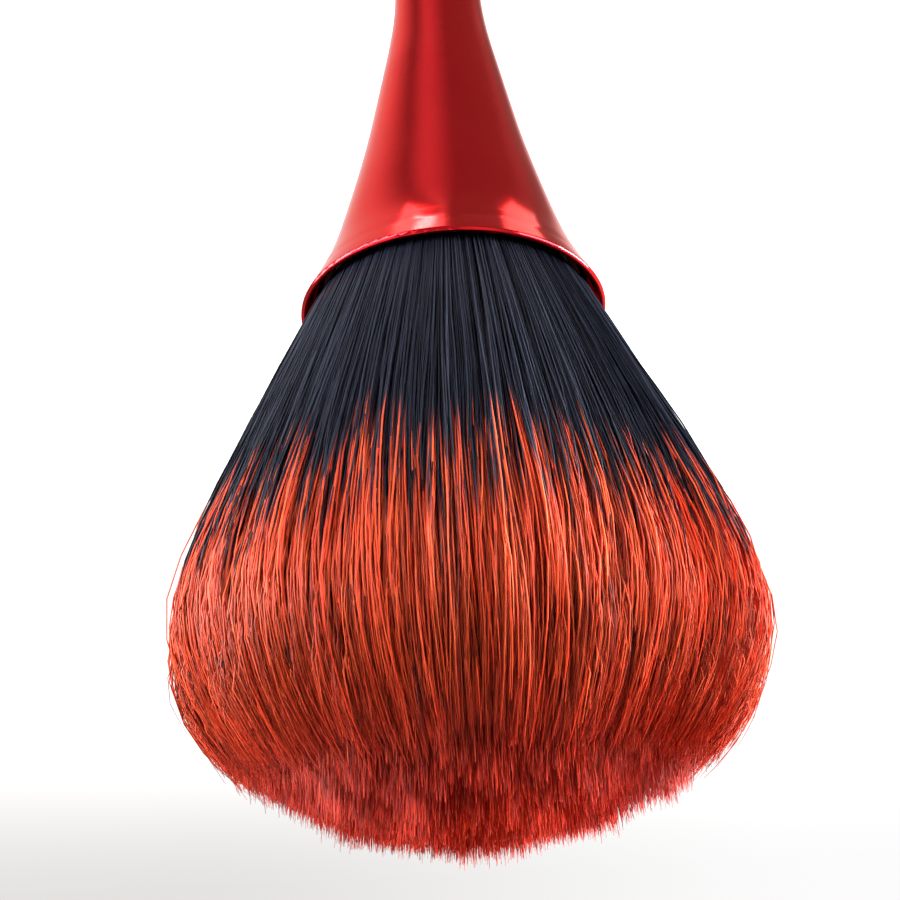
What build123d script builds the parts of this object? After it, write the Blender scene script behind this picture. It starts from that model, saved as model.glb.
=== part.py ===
"""Neck duster brush: a domed soft tuft potted in the flared mouth of a slim-waisted
aluminium handle.  Millimetres, standing on its foot, +Z along the axis to the hair tips,
origin at the centre of the foot pad's underside."""

import os

from build123d import *

os.makedirs("parts", exist_ok=True)

# Handle shell: one spun aluminium tube, as (radius, height) of its outer face.
shell_wall = 0.9
foot_radius = 13.0
foot_rim_height = 0.4  # the pad stands this far below the shell
foot_edge_round = 0.4
foot_band_top = 3.2
mouth_radius = 16.0
mouth_height = 90.0
rim_wall = 0.5  # the wall thins to this at the mouth's rim
lip_round = 0.45
lip_bulge = 0.05  # the rounded rim stands this far outside the end of the outer face
flare = [
    (foot_radius, foot_band_top),
    (12.7, 4.5),
    (11.9, 6.9),
    (10.55, 10.6),
    (8.95, 15.8),
    (7.4, 22.5),
    (6.1, 30.5),
    (5.4, 38.5),
    (5.45, 44.5),
    (6.1, 50.5),
    (7.4, 58.0),
    (8.65, 65.0),
    (9.9, 71.0),
    (11.12, 76.0),
    (12.15, 80.0),
    (13.05, 83.0),
    (13.85, 85.1),
    (14.70, 87.0),
    (mouth_radius - lip_bulge, mouth_height - lip_round),
]

flare_ends = [(0, 1), (0.5, 1)]  # upright at the foot's band, still opening at the mouth

# Pieces glued inside the shell follow its inner face, less one glue line.
glue_line = 0.05
inner_flare = [(r - shell_wall, z) for r, z in flare[:-1]]
inner_flare.append((flare[-1][0] - rim_wall, flare[-1][1]))
glued_flare = [(r - glue_line, z) for r, z in inner_flare]

# Hair cup: tapered plastic cup in the flare, with a flat floor.
cup_bottom = 66.0
cup_floor = 67.5
cup_top = 84.0
cup_bore_low = 6.6
cup_bore_high = 11.4
cup_taper = (cup_bore_high - cup_bore_low) / (cup_top - cup_floor)

# Glue in the cup, and the clearance that keeps the two solids apart.
cast_clearance = 0.02
cast_radius_low = cup_bore_low - cast_clearance

# Tuft: fibres cut square at the root, tied at the neck, fanned out and domed.
root_bottom = 72.0
root_radius = 7.6
neck_radius = 8.2
swell_below = 8.5  # the tied fibres swell to these radii below and above the ring
swell_above = 8.8
swell_length = 0.6
neck_low = 76.0
neck_high = 79.0
ring_radius = 8.9
ring_edge_round = 0.25
tuft_tip = 142.4
tuft_widest_radius = 26.5
tuft_widest_height = 123.0
fan = [
    (11.2, cup_top),
    (12.9, 86.6),
    (14.4, 90.0),
    (17.0, 96.0),
    (19.4, 102.0),
    (21.7, 108.0),
    (24.1, 114.5),
    (tuft_widest_radius, tuft_widest_height),
    (25.35, 129.0),
    (23.5, 132.4),
    (20.6, 135.4),
    (17.0, 137.9),
    (12.6, 139.9),
    (7.0, 141.6),
    (0.0, tuft_tip),
]

# Foot: steel slug, pressed-in disc and a rubber pad in the disc's recess.
weight_top = 12.5
plug_bottom = 0.8
plug_top = 3.1
press_clearance = 0.03  # keeps the pressed-in disc's solid clear of the shell's
plug_radius = foot_radius - shell_wall - press_clearance
recess_radius = 10.9
recess_depth = 1.0
pad_radius = 10.8
pad_edge_round = 0.3


# Spun tube, open at both ends, with the rim at the mouth rounded over.
with BuildPart() as handle_shell:
    with BuildSketch(Plane.XZ):
        with BuildLine():
            Spline(*flare, tangents=flare_ends)
            ThreePointArc(
                flare[-1],
                (flare[-1][0] - rim_wall / 2, mouth_height),
                inner_flare[-1],
            )
            Spline(*inner_flare, tangents=flare_ends)
            Polyline(
                (foot_radius - shell_wall, foot_band_top),
                (foot_radius - shell_wall, foot_rim_height),
                (foot_radius - foot_edge_round, foot_rim_height),
            )
            RadiusArc(
                (foot_radius - foot_edge_round, foot_rim_height),
                (foot_radius, foot_rim_height + foot_edge_round),
                -foot_edge_round,
            )
            Line(
                (foot_radius, foot_rim_height + foot_edge_round),
                (foot_radius, foot_band_top),
            )
        make_face()
    revolve(axis=Axis.Z)

# Cup with the shell's own curve outside and a straight tapered bore.
with BuildPart() as hair_cup:
    with BuildSketch(Plane.XZ):
        with BuildLine():
            Spline(*glued_flare, tangents=flare_ends)
            Polyline(
                glued_flare[-1],
                (0, glued_flare[-1][1]),
                (0, foot_band_top),
                glued_flare[0],
            )
        make_face()
        with BuildLine():
            Polyline(
                (0, cup_bottom),
                (mouth_radius, cup_bottom),
                (mouth_radius, cup_top),
                (cup_bore_high, cup_top),
                (cup_bore_low, cup_floor),
                (0, cup_floor),
                close=True,
            )
        make_face(mode=Mode.INTERSECT)
    revolve(axis=Axis.Z)

# Epoxy poured in the cup, setting the cut ends of the fibres.
with BuildPart() as root_glue:
    with BuildSketch(Plane.XZ):
        with BuildLine():
            Polyline(
                (0, cup_floor),
                (cast_radius_low, cup_floor),
                (cast_radius_low + cup_taper * (root_bottom - cup_floor), root_bottom),
                (0, root_bottom),
                close=True,
            )
        make_face()
    revolve(axis=Axis.Z)

# Crimped ring that ties the fibres at the neck.
with BuildPart() as binding_ring:
    with BuildSketch(Plane.XY.offset(neck_low)):
        Circle(ring_radius)
        Circle(neck_radius, mode=Mode.SUBTRACT)
    extrude(amount=neck_high - neck_low)
    fillet(binding_ring.edges().filter_by(GeomType.CIRCLE).group_by(SortBy.RADIUS)[-1], ring_edge_round)

# The whole tuft as the outer shape of its fibres.
with BuildPart() as hair_tuft:
    with BuildSketch(Plane.XZ):
        with BuildLine():
            Polyline(
                (0, root_bottom),
                (root_radius, root_bottom),
                (swell_below, neck_low - swell_length),
                (neck_radius, neck_low),
                (neck_radius, neck_high),
                (swell_above, neck_high + swell_length),
                fan[0],
            )
            Spline(*fan, tangents=[(0.8, 1), (-1, 0)])
            Line((0, tuft_tip), (0, root_bottom))
        make_face()
    revolve(axis=Axis.Z)

# Slug that fills the flare of the foot, so that the brush stands.
with BuildPart() as foot_weight:
    with BuildSketch(Plane.XZ):
        with BuildLine():
            Spline(*glued_flare, tangents=flare_ends)
            Polyline(
                glued_flare[-1],
                (0, glued_flare[-1][1]),
                (0, foot_band_top),
                glued_flare[0],
            )
        make_face()
        with Locations((0, (foot_band_top + weight_top) / 2)):
            Rectangle(2 * foot_radius, weight_top - foot_band_top, mode=Mode.INTERSECT)
    revolve(axis=Axis.Z)

# Disc pressed into the foot, recessed underneath for the pad.
with BuildPart() as foot_plug:
    with BuildSketch(Plane.XY.offset(plug_bottom)):
        Circle(plug_radius)
    extrude(amount=plug_top - plug_bottom)
    with BuildSketch(Plane.XY.offset(plug_bottom)):
        Circle(recess_radius)
    extrude(amount=recess_depth, mode=Mode.SUBTRACT)

# Rubber pad glued in the recess, proud of the metal rim.
with BuildPart() as foot_pad:
    with BuildSketch(Plane.XY):
        Circle(pad_radius)
    extrude(amount=plug_bottom + recess_depth)
    fillet(foot_pad.edges().group_by(Axis.Z)[0], pad_edge_round)

handle_shell.part.label = "handle_shell"
hair_cup.part.label = "hair_cup"
root_glue.part.label = "root_glue"
binding_ring.part.label = "binding_ring"
hair_tuft.part.label = "hair_tuft"
foot_weight.part.label = "foot_weight"
foot_plug.part.label = "foot_plug"
foot_pad.part.label = "foot_pad"

export_step(handle_shell.part, "parts/handle_shell.step")
export_step(hair_cup.part, "parts/hair_cup.step")
export_step(root_glue.part, "parts/root_glue.step")
export_step(binding_ring.part, "parts/binding_ring.step")
export_step(hair_tuft.part, "parts/hair_tuft.step")
export_step(foot_weight.part, "parts/foot_weight.step")
export_step(foot_plug.part, "parts/foot_plug.step")
export_step(foot_pad.part, "parts/foot_pad.step")
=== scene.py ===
"""Neck duster brush, standing on its foot: a domed, dip-dyed soft tuft in the flared mouth
of a slim-waisted, red anodised handle."""

import math

import bpy
from mathutils import Matrix, Vector


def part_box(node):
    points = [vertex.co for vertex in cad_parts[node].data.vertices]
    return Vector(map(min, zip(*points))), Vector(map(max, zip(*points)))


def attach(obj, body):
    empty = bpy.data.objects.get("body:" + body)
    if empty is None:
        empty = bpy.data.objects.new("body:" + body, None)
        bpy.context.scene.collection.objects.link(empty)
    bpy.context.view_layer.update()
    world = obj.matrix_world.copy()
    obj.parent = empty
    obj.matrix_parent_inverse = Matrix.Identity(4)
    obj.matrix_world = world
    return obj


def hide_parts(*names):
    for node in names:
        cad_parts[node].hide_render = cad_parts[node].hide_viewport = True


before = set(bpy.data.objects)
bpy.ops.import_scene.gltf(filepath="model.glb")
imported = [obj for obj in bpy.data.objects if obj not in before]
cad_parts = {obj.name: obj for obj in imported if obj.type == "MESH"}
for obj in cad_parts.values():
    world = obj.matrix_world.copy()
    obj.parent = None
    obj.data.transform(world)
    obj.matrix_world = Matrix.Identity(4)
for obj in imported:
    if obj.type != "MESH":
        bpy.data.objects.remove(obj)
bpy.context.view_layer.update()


# --- Handle shell -------------------------------------------------------------------
# One spun aluminium tube, polished and then anodised red, so a clear hard layer lies
# over the tinted metal.  The metal shows faint rings from the spinning tool, and the
# gloss is a little duller in patches where fingers hold it.


class Wire:
    """One output of a node.  Arithmetic on wires writes the Math nodes that do it."""

    def __init__(self, tree, socket):
        self.tree, self.socket = tree, socket

    @classmethod
    def node(cls, tree, kind, output=0, sockets=None, **settings):
        """Adds a node with these settings, sets or links its sockets, gives one output."""
        made = tree.nodes.new(kind)
        for name, value in settings.items():
            setattr(made, name, value)
        for name, value in (sockets or {}).items():
            cls.feed(tree, value, made.inputs[name])
        return cls(tree, made.outputs[output] if len(made.outputs) else made)

    @staticmethod
    def feed(tree, value, socket):
        """Links a wire to a socket, or sets the socket's own value."""
        if isinstance(value, Wire):
            tree.links.new(value.socket, socket)
        else:
            socket.default_value = value

    def also(self, output):
        """Another output of the same node."""
        return Wire(self.tree, self.socket.node.outputs[output])

    def math(self, operation, *others):
        values = dict(enumerate((self,) + others))
        return Wire.node(self.tree, "ShaderNodeMath", 0, values, operation=operation)

    def swapped(self, operation, other):
        values = {0: other, 1: self}
        return Wire.node(self.tree, "ShaderNodeMath", 0, values, operation=operation)

    def __add__(self, other):
        return self.math("ADD", other)

    def __mul__(self, other):
        return self.math("MULTIPLY", other)

    def __sub__(self, other):
        return self.math("SUBTRACT", other)

    def __truediv__(self, other):
        return self.math("DIVIDE", other)

    def __pow__(self, other):
        return self.math("POWER", other)

    def __rsub__(self, other):
        return self.swapped("SUBTRACT", other)

    def __rtruediv__(self, other):
        return self.swapped("DIVIDE", other)

    __radd__ = __add__
    __rmul__ = __mul__

    def clamp(self):
        values = {"Value": self}
        return Wire.node(self.tree, "ShaderNodeClamp", 0, values)

    def ramp(self, low, high):
        """0 below low, 1 above high, and a smooth rise between them."""
        values = {"Value": self, "From Min": low, "From Max": high}
        return Wire.node(
            self.tree, "ShaderNodeMapRange", 0, values, interpolation_type="SMOOTHSTEP"
        )

    def mix(self, first, second):
        """Goes from the first colour to the second as this wire goes from 0 to 1."""
        values = {0: self, 6: first, 7: second}
        return Wire.node(self.tree, "ShaderNodeMix", 2, values, data_type="RGBA")


def new_material(name):
    """A material with one Principled node, and that node's tree."""
    material = bpy.data.materials.new(name)
    material.use_nodes = True
    tree = material.node_tree
    shader = tree.nodes["Principled BSDF"]
    return material, tree, shader


def object_noise(tree, scale, detail=2.0, stretch=(1, 1, 1)):
    """Noise fixed to the piece, scale in cells per metre."""
    place = Wire.node(tree, "ShaderNodeTexCoord", "Object")
    stretched = Wire.node(
        tree, "ShaderNodeVectorMath", 0, {0: place, 1: stretch}, operation="MULTIPLY"
    )
    values = {"Vector": stretched, "Scale": scale, "Detail": detail}
    return Wire.node(tree, "ShaderNodeTexNoise", "Fac", values)


def dress(node_name, material):
    """Puts a material on a CAD node that stays in view."""
    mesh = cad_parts[node_name].data
    mesh.materials.clear()
    mesh.materials.append(material)


deep_red = (0.72, 0.007, 0.013, 1)
bright_red = (0.80, 0.011, 0.017, 1)
band_stretch = (0.02, 0.02, 40)  # draws the noise out into rings round the axis
polished, finger_dulling, ring_dulling = 0.10, 0.05, 0.02

anodised, tree, shader = new_material("red_anodised")
cloud = object_noise(tree, 90, 3)
rings = object_noise(tree, 60, 4, band_stretch)
tint = (cloud * 0.7 + rings * 0.3).ramp(0.3, 0.7)
Wire.feed(tree, tint.mix(deep_red, bright_red), shader.inputs["Base Color"])
handled = object_noise(tree, 160, 4).ramp(0.45, 0.75)
dulled = polished + finger_dulling * handled + ring_dulling * rings
Wire.feed(tree, dulled, shader.inputs["Roughness"])
shader.inputs["Metallic"].default_value = 1.0
shader.inputs["Specular Tint"].default_value = (1.0, 0.55, 0.5, 1)
shader.inputs["Coat Weight"].default_value = 0.22
shader.inputs["Coat Roughness"].default_value = 0.05
shader.inputs["Coat IOR"].default_value = 1.5
spun = Wire.node(
    tree,
    "ShaderNodeBump",
    0,
    {"Height": rings, "Strength": 0.04, "Distance": 0.0002},
)
Wire.feed(tree, spun, shader.inputs["Normal"])
dress("handle_shell", anodised)
dress("foot_plug", anodised)


# --- Pieces inside the handle and under the foot ------------------------------------
# Moulded black cup, amber epoxy, crimped aluminium ring, turned steel slug and a
# rubber pad.  Only the pad and the cup's rim can be seen, the pad from below.


def worked_surface(name, first, second, rough, cells, metallic=0.0, clear=0.0):
    """Two near colours in a fine mottle, cells per metre, and gloss that follows it."""
    material, tree, shader = new_material(name)
    mottle = object_noise(tree, cells, 5)
    Wire.feed(tree, mottle.ramp(0.3, 0.7).mix(first, second), shader.inputs["Base Color"])
    Wire.feed(tree, rough - 0.05 + 0.1 * mottle, shader.inputs["Roughness"])
    shader.inputs["Metallic"].default_value = metallic
    shader.inputs["Transmission Weight"].default_value = clear
    grain = Wire.node(
        tree,
        "ShaderNodeBump",
        0,
        {"Height": mottle, "Strength": 0.15, "Distance": 0.0001},
    )
    Wire.feed(tree, grain, shader.inputs["Normal"])
    return material


cup_plastic = worked_surface(
    "cup_plastic", (0.012, 0.012, 0.014, 1), (0.02, 0.02, 0.023, 1), rough=0.5, cells=1500
)
epoxy = worked_surface(
    "epoxy", (0.55, 0.36, 0.12, 1), (0.68, 0.48, 0.2, 1), rough=0.15, cells=400, clear=0.3
)
ring_aluminium = worked_surface(
    "ring_aluminium", (0.75, 0.75, 0.76, 1), (0.86, 0.86, 0.87, 1),
    rough=0.3, cells=900, metallic=1.0,
)
slug_steel = worked_surface(
    "slug_steel", (0.42, 0.42, 0.43, 1), (0.55, 0.55, 0.56, 1),
    rough=0.35, cells=700, metallic=1.0,
)
pad_rubber = worked_surface(
    "pad_rubber", (0.018, 0.018, 0.018, 1), (0.035, 0.034, 0.033, 1),
    rough=0.75, cells=2500,
)
dress("hair_cup", cup_plastic)
dress("root_glue", epoxy)
dress("binding_ring", ring_aluminium)
dress("foot_weight", slug_steel)
dress("foot_pad", pad_rubber)


# --- Tuft: the imported inside --------------------------------------------------------
# Under the outer fibres the tuft is so dense that it is closed to the eye.  A lathed body a
# little inside the tuft's outline stands for that, dyed like the fibres but darker, a
# painted shade of the dense inside, and bright at its crown, a painted glow.

tuft_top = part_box("hair_tuft")[1]
ring_low, ring_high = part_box("binding_ring")
outer_fuzz = 0.0001  # the outermost fibres lie this far outside the plain solid
widest_radius = tuft_top[0] + outer_fuzz
tip_height = tuft_top[2]
dome_base = 0.1227
dome_rise = tip_height - dome_base
fan_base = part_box("hair_cup")[1][2]
fan_radius = 0.0122
fan_slope = 0.43
fan_curve = -1.2
cup_gather = 0.001  # the cup's rim holds the fibres in by this much
cup_reach = 0.004


def fan_at(height):
    """Radius of the spreading fibres' outer layer at a height, before the dome closes."""
    up = height - fan_base
    gathered = cup_gather * max(1 - up / cup_reach, 0) ** 2
    return fan_radius + fan_slope * up + fan_curve * up * up - gathered


def lathe(name, outline, around=96):
    """A closed body turned from (radius, height) points, both ends on the axis."""
    verts = [(0, 0, outline[0][1])]
    for radius, height in outline[1:-1]:
        for k in range(around):
            turn = 2 * math.pi * k / around
            verts.append((radius * math.cos(turn), radius * math.sin(turn), height))
    verts.append((0, 0, outline[-1][1]))
    rows = len(outline) - 2
    faces = []
    for k in range(around):
        after = (k + 1) % around
        faces.append((0, 1 + after, 1 + k))
        for row in range(rows - 1):
            low, high = 1 + row * around, 1 + (row + 1) * around
            faces.append((low + k, low + after, high + after, high + k))
        last = 1 + (rows - 1) * around
        faces.append((last + k, last + after, len(verts) - 1))
    mesh = bpy.data.meshes.new(name)
    mesh.from_pydata(verts, [], faces)
    mesh.shade_smooth()
    piece = bpy.data.objects.new(name, mesh)
    bpy.context.scene.collection.objects.link(piece)
    return piece


root_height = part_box("root_glue")[1][2] + 0.001
root_radius = 0.0070
tied_radius = 0.0078
packed_share = 0.86  # of the fan's radius
packed_widest = widest_radius - 0.004
packed_rise = dome_rise - 0.0025
packed_tip = tip_height - 0.0028
last_level = packed_tip - 0.0007
level_gap = 0.0015

outline = [
    (0.0, root_height),
    (root_radius, root_height),
    (tied_radius, ring_low[2]),
    (tied_radius, ring_high[2]),
]
level = fan_base
while level < last_level:
    radius = packed_share * fan_at(level)
    if level > dome_base:
        closing = 1 - ((level - dome_base) / packed_rise) ** 2
        radius = min(radius, packed_widest * math.sqrt(max(closing, 0.0004)))
    outline.append((radius, level))
    level += level_gap
outline.append((0.0, packed_tip))
tuft_inside = lathe("tuft_inside", outline)

inside_dye, tree, shader = new_material("fibre_inside")
streak = object_noise(tree, 900, 3, (1, 1, 0.05))
place = Wire.node(tree, "ShaderNodeTexCoord", "Object")
height = Wire.node(tree, "ShaderNodeSeparateXYZ", "Z", {"Vector": place})
height = height + 0.006 * (streak - 0.5)
dyed = height.ramp(0.110, 0.121)
fibre = streak.ramp(0.35, 0.65)
# Painted shade: charcoal and brick far darker than the fibres' own dye, for the shade deep
# in the tuft.
charcoal = fibre.mix((0.003, 0.003, 0.004, 1), (0.007, 0.007, 0.010, 1))
brick = fibre.mix((0.03, 0.002, 0.001, 1), (0.13, 0.007, 0.003, 1))
# Painted glow: the inside body's crown is bright, like the lit fibre tips on top.
painted_glow_crest = fibre.mix((0.40, 0.010, 0.004, 1), (0.85, 0.040, 0.012, 1))
brick = height.ramp(0.128, 0.136).mix(brick, painted_glow_crest)
Wire.feed(tree, dyed.mix(charcoal, brick), shader.inputs["Base Color"])
Wire.feed(tree, 0.75 + 0.2 * streak, shader.inputs["Roughness"])
shader.inputs["Specular IOR Level"].default_value = 0.1
tuft_inside.data.materials.append(inside_dye)


# --- Tuft: the fibres ---------------------------------------------------------------
# Tapered synthetic fibres, dip-dyed: charcoal from the root, brick red from halfway.
# Each leaves the mouth straight, fans out with its neighbours and ends on the dome; the
# outermost curl in over the dome's shoulder.  Geometry Nodes draw them by the thousand.

fibre_tones = 128
dye_share = 0.56  # how far up the fan the red begins
dye_scatter = 0.20

fibre_dye, tree, shader = new_material("fibre_dip_dyed")
own_map = Wire.node(tree, "ShaderNodeUVMap", "UV", uv_map="OFBake")
across = Wire.node(tree, "ShaderNodeSeparateXYZ", "X", {"Vector": own_map})
along = across.also("Y")
strip = (across * fibre_tones).math("FLOOR")
chance = Wire.node(
    tree, "ShaderNodeTexWhiteNoise", "Value", {"W": strip}, noise_dimensions="1D"
)
chance_two = Wire.node(
    tree, "ShaderNodeTexWhiteNoise", "Value", {"W": strip + 0.5}, noise_dimensions="1D"
)
where = Wire.node(
    tree, "ShaderNodeCombineXYZ", 0, {"X": strip * 3.7, "Y": along * 20.0}
)
mottle = Wire.node(
    tree, "ShaderNodeTexNoise", "Fac", {"Vector": where, "Scale": 1.0, "Detail": 2.0}
)
dye_line = dye_share + dye_scatter * (chance - 0.5)
dyed = (along - dye_line).ramp(-0.03, 0.05)
shade = (strip / fibre_tones + 0.8 * (mottle - 0.5)).clamp()
charcoal = shade.mix((0.004, 0.004, 0.008, 1), (0.012, 0.015, 0.026, 1))
deep = shade.mix((0.05, 0.003, 0.002, 1), (0.65, 0.045, 0.013, 1))
warm = shade.mix((0.08, 0.006, 0.003, 1), (0.80, 0.108, 0.032, 1))
ends = shade.mix((0.14, 0.004, 0.002, 1), (0.60, 0.026, 0.007, 1))
# Painted glow: the very tips on top of the dome are brighter, standing in for light shining
# through them.
painted_glow_crest = shade.mix((0.36, 0.008, 0.002, 1), (0.95, 0.045, 0.008, 1))
ends = along.ramp(0.89, 0.99).mix(ends, painted_glow_crest)
brick = along.ramp(0.76, 0.92).mix(chance_two.mix(deep, warm), ends)
Wire.feed(tree, dyed.mix(charcoal, brick), shader.inputs["Base Color"])
shader.inputs["Roughness"].default_value = 0.48
shader.inputs["Specular IOR Level"].default_value = 0.13

tree = bpy.data.node_groups.new("tuft_fibres", "GeometryNodeTree")
tree.is_modifier = True
face = tree.interface
face.new_socket("Fibres", in_out="OUTPUT", socket_type="NodeSocketGeometry")
asked = {}
for name, kind, value in (
    ("Count", "NodeSocketInt", 1000),
    ("Seed", "NodeSocketInt", 0),
    ("Points along", "NodeSocketInt", 9),
    ("Share from", "NodeSocketFloat", 0.86),
    ("Share to", "NodeSocketFloat", 1.0),
    ("Turn from", "NodeSocketFloat", 0.0),
    ("Turn to", "NodeSocketFloat", math.pi / 2),
    ("Starts at", "NodeSocketFloat", 0.0),
    ("Thickness", "NodeSocketFloat", 0.00015),
    ("Darker inside", "NodeSocketFloat", 1.0),
):
    socket = face.new_socket(name, in_out="INPUT", socket_type=kind)
    socket.default_value = value
    asked[name] = socket.identifier
group_in = tree.nodes.new("NodeGroupInput")
given = {name: Wire(tree, group_in.outputs[name]) for name in asked}


def random_between(low, high, salt):
    """One random number for each fibre."""
    seed = Wire.node(
        tree, "ShaderNodeMath", 0, {0: given["Seed"], 1: float(salt)}, operation="ADD"
    )
    return Wire.node(
        tree, "FunctionNodeRandomValue", 1, {2: low, 3: high, "Seed": seed},
        data_type="FLOAT",
    )


# One straight fibre, copied Count times; each copy draws its own numbers.
line = Wire.node(tree, "GeometryNodeCurvePrimitiveLine", 0)
points = Wire.node(
    tree, "GeometryNodeResampleCurve", 0, {"Curve": line, "Count": given["Points along"]}
)
copies = Wire.node(
    tree, "GeometryNodeDuplicateElements", 0,
    {"Geometry": points, "Amount": given["Count"]}, domain="SPLINE",
)


def keep(geometry, domain, **fields):
    """Stores fields on the geometry before it changes, and gives them back as wires."""
    made = tree.nodes.new("GeometryNodeCaptureAttribute")
    made.domain = domain
    tree.links.new(geometry.socket, made.inputs["Geometry"])
    out = {}
    for name in fields:
        made.capture_items.new("FLOAT", name)
    for name, wire in fields.items():
        Wire.feed(tree, wire, made.inputs[name])
        out[name] = Wire(tree, made.outputs[name])
    return Wire(tree, made.outputs["Geometry"]), out


area_from = given["Share from"] * given["Share from"]
area_to = given["Share to"] * given["Share to"]
copies, own = keep(
    copies, "CURVE",
    share=random_between(area_from, area_to, 1).math("SQRT"),
    turn=random_between(given["Turn from"], given["Turn to"], 2),
    chance=random_between(0.0, 1.0, 3),
    depth=random_between(0.0, 1.0, 4),
    curl=random_between(0.0, 1.0, 5),
    size=random_between(0.75, 1.2, 6),
)
factor = Wire.node(tree, "GeometryNodeSplineParameter", "Factor")
copies, kept = keep(copies, "POINT", factor=factor)
share, turn = own["share"], own["turn"]
tip_crowding = 1.6  # the points crowd towards the curled tip
climbed = 1 - (1 - kept["factor"]) ** tip_crowding
reach = given["Starts at"] + (1 - given["Starts at"]) * climbed

# Where it ends: the dome's height over its place in the tuft, further for the outermost.
outward_lean = 0.22
curl_length = 0.014
least_curl = 0.25
uneven_length = 0.0012
tip_margin = 0.0002
leaning = share * (1 + outward_lean - outward_lean * share ** 3.0)
dome_share = (1 - leaning * leaning).math("MAXIMUM", 0.0).math("SQRT")
curl_over = curl_length * share ** 6.0 * (least_curl + (1 - least_curl) * own["curl"])
end_height = dome_base + dome_rise * dome_share + curl_over - uneven_length * own["depth"]
end_height = end_height.math("MINIMUM", tip_height - tip_margin)
height = fan_base + reach * (end_height - fan_base)

# Its distance from the axis: its share of the fan, held in by the dome.
layer_depth = 0.10  # the layers at the dome's side, as a share of its radius
shoulder_blend = 0.002
up = height - fan_base
gathered = cup_gather * (1 - up / cup_reach).clamp() ** 2.0
spread = share * (fan_radius + fan_slope * up + fan_curve * (up * up) - gathered)
over = ((height - dome_base) / dome_rise).clamp()
held = widest_radius * (1 - over * over).math("SQRT") * (1 - layer_depth * own["depth"])
radius = spread.math("SMOOTH_MIN", held, shoulder_blend)

place = Wire.node(
    tree, "ShaderNodeCombineXYZ", 0,
    {"X": radius * turn.math("COSINE"), "Y": radius * turn.math("SINE"), "Z": height},
)

# Where its root is in the bundle, which settles the neighbours that it drifts with.
root = Wire.node(
    tree, "ShaderNodeCombineXYZ", 0,
    {"X": share * turn.math("COSINE"), "Y": share * turn.math("SINE"), "Z": 0.0},
)
root = Wire.node(
    tree, "ShaderNodeVectorMath", 0, {0: root, "Scale": widest_radius}, operation="SCALE"
)
climb = Wire.node(tree, "ShaderNodeCombineXYZ", 0, {"Z": height})


def drift(cells, squeeze, amount, w=0.0):
    """A push from noise, in cells per metre, squeezed along the fibres.  Neighbours share
    it, unless a w of their own sets them apart."""
    squeezed = Wire.node(
        tree, "ShaderNodeVectorMath", 0, {0: climb, "Scale": squeeze}, operation="SCALE"
    )
    sampled = Wire.node(
        tree, "ShaderNodeVectorMath", 0, {0: root, 1: squeezed}, operation="ADD"
    )
    noise = Wire.node(
        tree, "ShaderNodeTexNoise", "Color",
        {"Vector": sampled, "W": w, "Scale": cells, "Detail": 0.0},
        noise_dimensions="4D",
    )
    centred = Wire.node(
        tree, "ShaderNodeVectorMath", 0, {0: noise, 1: (0.5, 0.5, 0.5)},
        operation="SUBTRACT",
    )
    return Wire.node(
        tree, "ShaderNodeVectorMath", 0, {0: centred, "Scale": amount}, operation="SCALE"
    )


freedom = reach ** 1.2
apart = 50.0  # so far apart in the noise that two fibres share nothing
pushes = (
    drift(260.0, 0.12, 0.0020 * freedom),
    drift(900.0, 0.05, 0.0017 * freedom),
    drift(45.0, 1.0, 0.0020 * freedom, own["chance"] * apart),
    drift(110.0, 1.0, 0.0010 * freedom, own["depth"] * apart),
)
for push in pushes:
    place = Wire.node(
        tree, "ShaderNodeVectorMath", 0, {0: place, 1: push}, operation="ADD"
    )
moved = Wire.node(
    tree, "GeometryNodeSetPosition", 0, {"Geometry": copies, "Position": place}
)

# Three-sided tubes, tapered over their last fifth and closed at both ends.
taper_part = 0.2
tip_share = 0.18  # of the full thickness, at the tip
tube_sides = 3
taper = ((1 - reach) / taper_part).clamp() ** 0.6
tube_radius = given["Thickness"] * own["size"] * (tip_share + (1 - tip_share) * taper) * 0.5
ring = Wire.node(
    tree, "GeometryNodeCurvePrimitiveCircle", 0, {"Resolution": tube_sides, "Radius": 1.0}
)
index = Wire.node(tree, "GeometryNodeInputIndex", 0)
ring, side = keep(ring, "POINT", side=index / (tube_sides - 1))
tubes = Wire.node(
    tree, "GeometryNodeCurveToMesh", 0,
    {"Curve": moved, "Profile Curve": ring, "Scale": tube_radius, "Fill Caps": True},
)

# Own map: one narrow strip for each tone across, dark to bright, and the height along, so
# that the dye follows each fibre.  Fibres of one clump are near in tone, and the ones
# further in are darker, a painted shade of the deep tuft.  The map's name is the one that
# the library's export bakes to.
around = Wire.node(
    tree, "ShaderNodeCombineXYZ", 0,
    {"X": turn.math("COSINE"), "Y": turn.math("SINE"), "Z": share * 2.0},
)
clump = Wire.node(
    tree, "ShaderNodeTexNoise", "Fac", {"Vector": around, "Scale": 28.0, "Detail": 1.0}
)
patch = Wire.node(
    tree, "ShaderNodeTexNoise", "Fac", {"Vector": around, "Scale": 7.0, "Detail": 2.0}
)
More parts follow.
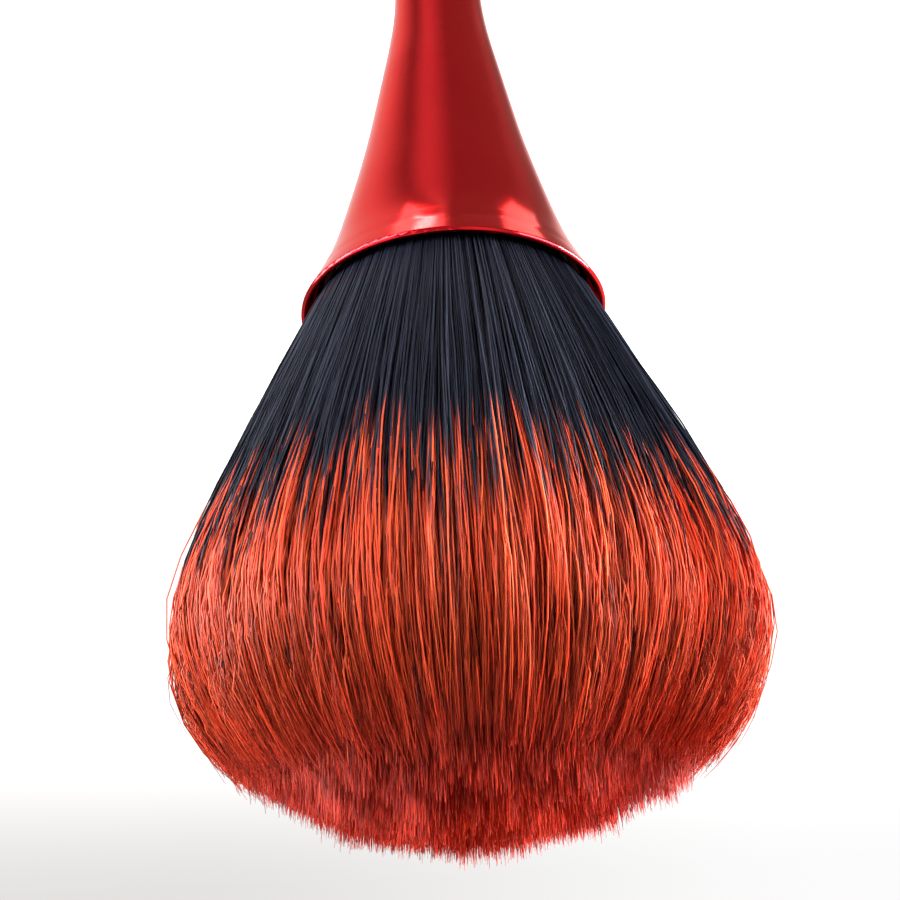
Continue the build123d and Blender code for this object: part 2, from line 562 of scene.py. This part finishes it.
# Painted shade: fibres further in the layer get darker tones, standing in for the tuft's
# own shade.
rank = (share - given["Share from"]) / (given["Share to"] - given["Share from"])
depth_shade_and_tone = 0.5 + 0.5 * given["Darker inside"] * (rank - 0.5)
depth_shade_and_tone = depth_shade_and_tone + 1.7 * (clump - 0.5) + 0.55 * (own["chance"] - 0.5)
strip = (depth_shade_and_tone.clamp() * (fibre_tones - 0.01)).math("FLOOR")
strip_margin, map_margin = 0.1, 0.02
column = (strip + strip_margin + (1 - 2 * strip_margin) * side["side"]) / fibre_tones
row = (height - fan_base) / (tip_height - fan_base) * (1 - 2 * map_margin) + map_margin
row = row + 0.10 * (patch - 0.5) + 0.08 * (clump - 0.5)  # an uneven dye line
uv = Wire.node(
    tree, "ShaderNodeCombineXYZ", 0, {"X": column.clamp(), "Y": row.clamp()}
)
mapped = Wire.node(
    tree, "GeometryNodeStoreNamedAttribute", 0,
    {"Geometry": tubes, "Name": "OFBake", "Value": uv},
    data_type="FLOAT2", domain="CORNER",
)
smooth = Wire.node(tree, "GeometryNodeSetShadeSmooth", 0, {"Geometry": mapped})
real = Wire.node(tree, "GeometryNodeRealizeInstances", 0, {"Geometry": smooth})
dyed_tubes = Wire.node(
    tree, "GeometryNodeSetMaterial", 0, {"Geometry": real, "Material": fibre_dye}
)
group_out = tree.nodes.new("NodeGroupOutput")
tree.links.new(dyed_tubes.socket, group_out.inputs[0])
fibre_tree = tree


def grow(name, **values):
    """Runs the fibre tree with these values and keeps its result as a plain mesh."""
    seedling = bpy.data.objects.new(name, bpy.data.meshes.new(name))
    bpy.context.scene.collection.objects.link(seedling)
    modifier = seedling.modifiers.new("fibres", "NODES")
    modifier.node_group = fibre_tree
    for label, value in values.items():
        modifier[asked[label.replace("_", " ")]] = value
    bpy.context.view_layer.update()
    grown = seedling.evaluated_get(bpy.context.evaluated_depsgraph_get())
    mesh = bpy.data.meshes.new_from_object(grown)
    seedling.modifiers.clear()
    seedling.data = mesh
    mesh.name = name
    return seedling


thinning = 1
sectors = 6
side_count, crown_count = 2300, 6000  # fibres in each sector
tuft_pieces = [tuft_inside]
for k in range(sectors):
    sector = {
        "Turn_from": 2 * math.pi * k / sectors,
        "Turn_to": 2 * math.pi * (k + 1) / sectors,
    }
    tuft_pieces.append(grow(
        f"tuft_side_{k + 1}", Count=side_count // thinning, Seed=11 + k,
        Points_along=14, Share_from=packed_share, Share_to=1.0, Starts_at=0.0,
        Thickness=0.00015, Darker_inside=1.0, **sector,
    ))
    tuft_pieces.append(grow(
        f"tuft_crown_{k + 1}", Count=crown_count // thinning, Seed=41 + k,
        Points_along=4, Share_from=0.0, Share_to=0.9, Starts_at=0.66,
        Thickness=0.00020, Darker_inside=0.0, **sector,
    ))
for piece in tuft_pieces:
    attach(piece, "root")
    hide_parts("hair_tuft")


# --- Floor, light and camera --------------------------------------------------------
# A plain pale floor that runs into a pale wall all round, a broad soft light from above
# and behind, and four soft lamps at the sides.  The polished metal sees soft boxes.

floor_reach = 5.0
wall_rise = 4.0
mouth_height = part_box("handle_shell")[1][2]


def stage_piece(name, verts, faces, material):
    """A flat or walled piece of the studio, which isn't part of the brush."""
    mesh = bpy.data.meshes.new(name)
    mesh.from_pydata(verts, [], faces)
    mesh.materials.append(material)
    piece = bpy.data.objects.new(name, mesh)
    bpy.context.scene.collection.objects.link(piece)
    return piece


def wall_light_and_shade(tree):
    """The wall's own light, white with a painted shade that greys it towards +X, and how
    far off it is.
    """
    place = Wire.node(tree, "ShaderNodeTexCoord", "Object")
    across = Wire.node(tree, "ShaderNodeSeparateXYZ", "X", {"Vector": place})
    away = across.also("Y")
    shaded_side = (across / away.math("MAXIMUM", 0.1)).ramp(-0.35, 0.30)
    distance = (across * across + away * away).math("SQRT")
    white, painted_shade_grey = (0.97, 0.97, 0.97, 1), (0.78, 0.765, 0.75, 1)
    return shaded_side.mix(white, painted_shade_grey), distance


rim_sides = 48
rim = [
    (floor_reach * math.cos(2 * math.pi * k / rim_sides),
     floor_reach * math.sin(2 * math.pi * k / rim_sides))
    for k in range(rim_sides)
]
paper, tree, shader = new_material("pale_paper")
light_with_shade, distance = wall_light_and_shade(tree)
grain = object_noise(tree, 300, 2)
near_tone = grain.mix((0.84, 0.84, 0.84, 1), (0.86, 0.86, 0.855, 1))
near_glow = (0.32, 0.32, 0.32, 1)
black = (0, 0, 0, 1)
# Far off, the floor gives the wall's light, its painted shade towards +X included.
near = (0.5 / distance.math("MAXIMUM", 0.1)).ramp(0.05, 0.85)  # fades with distance
Wire.feed(tree, near.mix(black, near_tone), shader.inputs["Base Color"])
Wire.feed(tree, near.mix(light_with_shade, near_glow), shader.inputs["Emission Color"])
shader.inputs["Emission Strength"].default_value = 1.0
shader.inputs["Roughness"].default_value = 0.8
shader.inputs["Specular IOR Level"].default_value = 0.0
floor = stage_piece(
    "floor", [(x, y, 0) for x, y in rim], [tuple(range(rim_sides))], paper)
floor.visible_glossy = False

backdrop, tree, shader = new_material("pale_wall")
light_with_shade, distance = wall_light_and_shade(tree)
Wire.feed(tree, light_with_shade, shader.inputs["Emission Color"])
shader.inputs["Emission Strength"].default_value = 1.0
shader.inputs["Base Color"].default_value = black
shader.inputs["Specular IOR Level"].default_value = 0.0
wall = stage_piece(
    "wall",
    [(x, y, 0) for x, y in rim] + [(x, y, wall_rise) for x, y in rim],
    [(k, (k + 1) % rim_sides, rim_sides + (k + 1) % rim_sides, rim_sides + k)
     for k in range(rim_sides)],
    backdrop,
)
wall.visible_diffuse = wall.visible_glossy = wall.visible_shadow = False

# The soft boxes, as one big ball round the brush that only reflections see.  A heading is
# in degrees round from the camera's side, positive towards +X.
soft_boxes, tree, shader = new_material("soft_boxes")
place = Wire.node(tree, "ShaderNodeTexCoord", "Object")
direction = Wire.node(
    tree, "ShaderNodeVectorMath", 0, {0: place, 1: (0, 0, -mouth_height)}, operation="ADD"
)
direction = Wire.node(
    tree, "ShaderNodeVectorMath", 0, {0: direction}, operation="NORMALIZE"
)
east = Wire.node(tree, "ShaderNodeSeparateXYZ", "X", {"Vector": direction})
north, up = east.also("Y"), east.also("Z")
heading = east.math("ARCTAN2", -1 * north) * math.degrees(1)


def between(value, low, high, soft):
    """1 between two limits, with soft edges."""
    return value.ramp(low - soft, low + soft) * (1 - value.ramp(high - soft, high + soft))


# Low down, which the flare reflects: a dim room, a bright wall, a streak and two lamps.
room, lamp_glow, bulb_glow = 0.30, 2.3, 14.0
left_wall = 0.70 * heading.ramp(62, 118)
streak = 0.42 * heading.ramp(-22, 33) * (1 - heading.ramp(33, 70))
right_wall = 0.07 * between(heading, -125, -104, 8) + 0.8 * (1 - heading.ramp(-162, -142))
lamp_left = between(east, 0.03, 0.285, 0.02) * between(north, -0.03, 0.26, 0.015)
lamp_right = between(east, -0.42, -0.285, 0.02) * between(north, 0.10, 0.36, 0.02)
bulb = between(east, 0.08, 0.20, 0.03) * between(north, 0.005, 0.05, 0.015)
low_glow = room + left_wall + streak + right_wall + lamp_glow * (lamp_left + lamp_right)
low_glow = low_glow + bulb_glow * lamp_left * bulb

# Higher up, which the waist and the foot reflect: three tall soft boxes.
high_glow = 0.40 + 0.9 * between(heading, 40, 85, 10)
high_glow = high_glow + 0.9 * between(heading, -150, -110, 10)
high_glow = high_glow + 0.5 * between(heading, -35, -10, 10)
low = 1 - up.ramp(-0.62, -0.5)
glow = low * low_glow + (1 - low) * high_glow
Wire.feed(tree, glow, shader.inputs["Emission Color"])
shader.inputs["Emission Strength"].default_value = 1.0
shader.inputs["Base Color"].default_value = black
soft_boxes.cycles.emission_sampling = "NONE"
ball_rings, ball_radius = 24, 3.0
ball_outline = [
    (ball_radius * math.sin(k * math.pi / ball_rings),
     mouth_height - ball_radius * math.cos(k * math.pi / ball_rings))
    for k in range(ball_rings + 1)
]
ball = lathe("reflected_room", ball_outline, 48)
ball.data.materials.append(soft_boxes)
ball.visible_camera = ball.visible_diffuse = ball.visible_transmission = False
ball.visible_shadow = ball.visible_volume_scatter = False

world = bpy.data.worlds.new("studio")
world.use_nodes = True
world.node_tree.nodes["Background"].inputs["Color"].default_value = (1.0, 0.99, 0.98, 1)
world.node_tree.nodes["Background"].inputs["Strength"].default_value = 0.26
bpy.context.scene.world = world


def lamp(name, kind, place, target, energy, size):
    """A lamp that faces its target; size is a width for AREA and an angle for SUN."""
    light = bpy.data.lights.new(name, kind)
    light.energy = energy
    if kind == "AREA":
        light.size = size
    else:
        light.angle = size
    holder = bpy.data.objects.new(name, light)
    holder.location = place
    direction = Vector(target) - Vector(place)
    holder.rotation_euler = direction.to_track_quat("-Z", "Y").to_euler()
    bpy.context.scene.collection.objects.link(holder)


tuft_neck = (0, 0, 0.10)
lamp("sky", "SUN", (0.1, 0.8, 1.0), (0, 0, 0), 3.6, math.radians(50))
lamp("left", "AREA", (0.34, -0.22, 0.05), tuft_neck, 2.4, 0.22)
lamp("right", "AREA", (-0.34, -0.20, 0.06), tuft_neck, 3.2, 0.20)
lamp("left_edge", "AREA", (0.34, 0.0, 0.05), tuft_neck, 2.6, 0.18)
lamp("right_edge", "AREA", (-0.34, 0.0, 0.05), tuft_neck, 8.0, 0.18)

# The camera is close, looks down at the brush and is held upside down.
tilt = math.radians(24.64)
roll = math.radians(-2.88)
to_mouth, below_mouth = 0.10565, 0.013486
right = Vector((-1, 0, 0))
upward = Vector((0, -math.sin(tilt), -math.cos(tilt)))
ahead = Vector((0, math.cos(tilt), -math.sin(tilt)))
mouth = Vector((0, 0, mouth_height))
eye = mouth - below_mouth * upward - to_mouth * ahead
frame_right = math.cos(roll) * right + math.sin(roll) * upward
frame_up = math.cos(roll) * upward - math.sin(roll) * right
lens = bpy.data.cameras.new("camera")
lens.sensor_width = 36
lens.lens = 39.97
lens.shift_x = -0.0116
lens.clip_start = 0.002
camera = bpy.data.objects.new("camera", lens)
camera.matrix_world = Matrix.Translation(eye) @ Matrix(
    (frame_right, frame_up, -ahead)
).transposed().to_4x4()
bpy.context.scene.collection.objects.link(camera)
bpy.context.scene.camera = camera
bpy.context.scene.view_settings.view_transform = "Standard"
